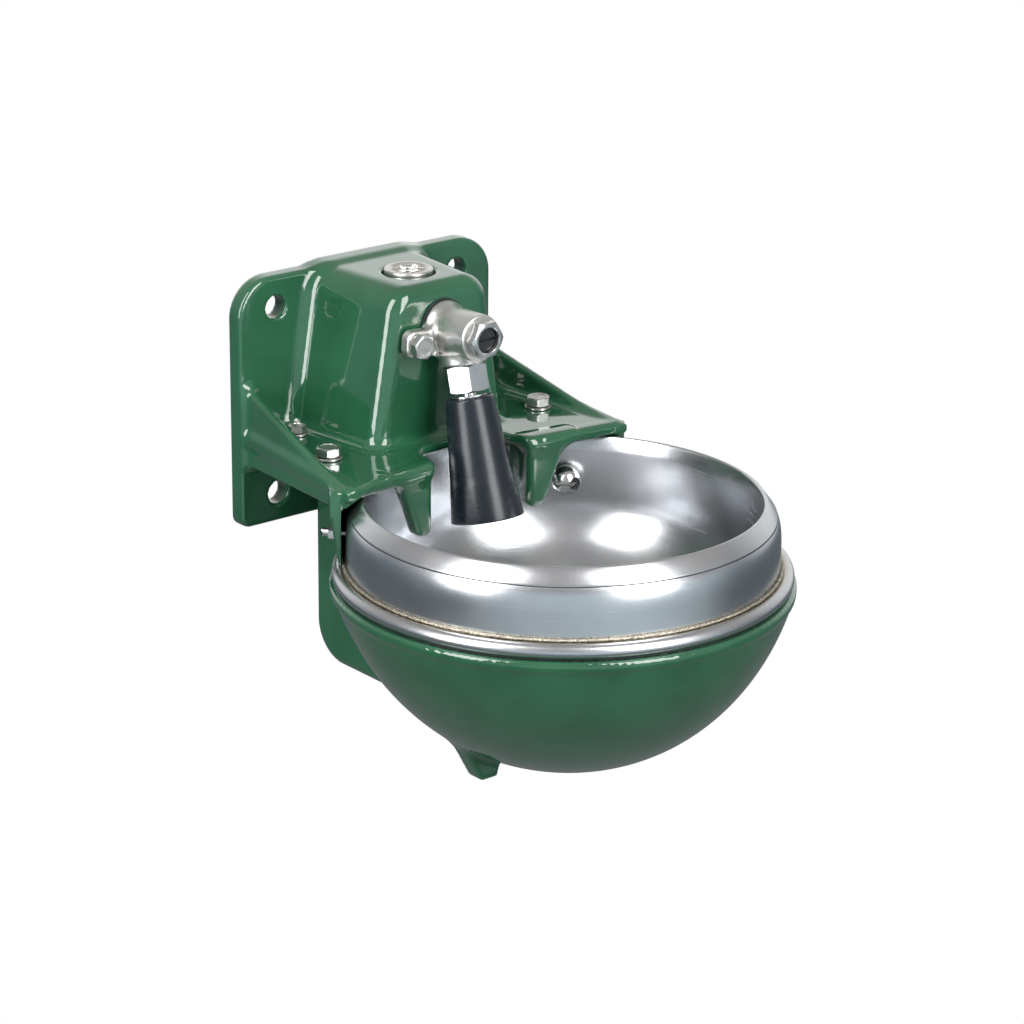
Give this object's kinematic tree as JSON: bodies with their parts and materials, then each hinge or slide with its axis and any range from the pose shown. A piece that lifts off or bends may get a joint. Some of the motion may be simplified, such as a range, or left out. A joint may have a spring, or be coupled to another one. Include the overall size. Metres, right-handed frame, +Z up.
{
  "type": "livestock drinking bowl",
  "caption": "Wall-hung livestock drinking bowl: green cast housing, round stainless bowl with heater below, and a push tube that opens its valve.",
  "frame": {"origin": "middle of the four wall fixing holes, on the plane of the wall plate's back", "axes": "+X to the right of someone who faces the bowl, +Y into the wall, +Z up"},
  "size_m": [0.26, 0.322, 0.2579],
  "materials": {
    "green_enamel": "glossy dark green enamel on cast iron",
    "stainless_steel": "polished and brushed stainless sheet",
    "cast_stainless": "satin cast stainless steel",
    "zinc_steel": "zinc-plated steel",
    "brass": "machined",
    "aluminium": "pressed, satin",
    "black_rubber": "smooth black rubber",
    "black_plastic": "moulded black plastic",
    "foam": "closed-cell foam"
  },
  "bodies": {
    "housing": {"upper_casting": "green_enamel", "lower_casting": "green_enamel", "bowl_insert": "stainless_steel", "collar_shell": "stainless_steel", "bead_ring": "stainless_steel", "weld_seam": "stainless_steel", "plunger_spring": "stainless_steel", "skirt_screw_left": "stainless_steel", "skirt_screw_right": "stainless_steel", "connection_tee": "cast_stainless", "valve_body": "cast_stainless", "valve_cap": "cast_stainless", "union_nut": "cast_stainless", "heater_element": "zinc_steel", "riser_pipe": "zinc_steel", "valve_bolt_left": "zinc_steel", "valve_bolt_right": "zinc_steel", "valve_washer_left": "zinc_steel", "valve_washer_right": "zinc_steel", "ledge_bolt_front_left": "zinc_steel", "ledge_bolt_front_right": "zinc_steel", "ledge_bolt_rear_left": "zinc_steel", "ledge_bolt_rear_right": "zinc_steel", "ledge_washer_front_left": "zinc_steel", "ledge_washer_front_right": "zinc_steel", "ledge_washer_rear_left": "zinc_steel", "ledge_washer_rear_right": "zinc_steel", "ledge_nut_front_left": "zinc_steel", "ledge_nut_front_right": "zinc_steel", "ledge_nut_rear_left": "zinc_steel", "ledge_nut_rear_right": "zinc_steel", "skirt_washer_left": "zinc_steel", "skirt_washer_right": "zinc_steel", "skirt_nut_left": "zinc_steel", "skirt_nut_right": "zinc_steel", "lower_coupling": "brass", "valve_seat": "brass", "heater_plate": "aluminium", "rim_gasket": "black_rubber", "heater_lead": "black_rubber", "valve_gasket": "black_rubber", "spigot_seal": "black_rubber", "thermostat": "black_plastic", "cable_gland": "black_plastic", "insulation_liner": "foam"},
    "regulator": {"regulator_plug": "black_plastic", "regulator_seal": "black_rubber"},
    "plunger": {"valve_plunger": "brass", "plunger_seal": "black_rubber"},
    "swivel": {"swivel_ring": "black_rubber"},
    "tube": {"tube_socket": "stainless_steel", "drinking_tube": "black_rubber"}
  },
  "joints": [
    {"name": "regulator_turn", "type": "hinge", "parent": "housing", "child": "regulator", "pos_m": [0, -0.10995, 0.051], "axis": [0, 1, 0], "range_deg": [0, 90]},
    {"name": "plunger_lift", "type": "slide", "parent": "housing", "child": "plunger", "axis": [0, 0.2419, 0.9703], "range_m": [0, 0.0015], "stiffness_N_per_m": 500, "springref_m": -0.002, "deforming": ["plunger_spring"]},
    {"name": "tube_tilt_forward", "type": "hinge", "parent": "housing", "child": "swivel", "pos_m": [0, -0.10538, 0.02141], "axis": [1, 0, 0], "range_deg": [-5, 5], "stiffness_Nm_per_rad": 2},
    {"name": "tube_tilt_sideways", "type": "hinge", "parent": "swivel", "child": "tube", "pos_m": [0, -0.10538, 0.02141], "axis": [0, 0.9703, -0.2419], "range_deg": [-5, 5], "stiffness_Nm_per_rad": 2}
  ]
}
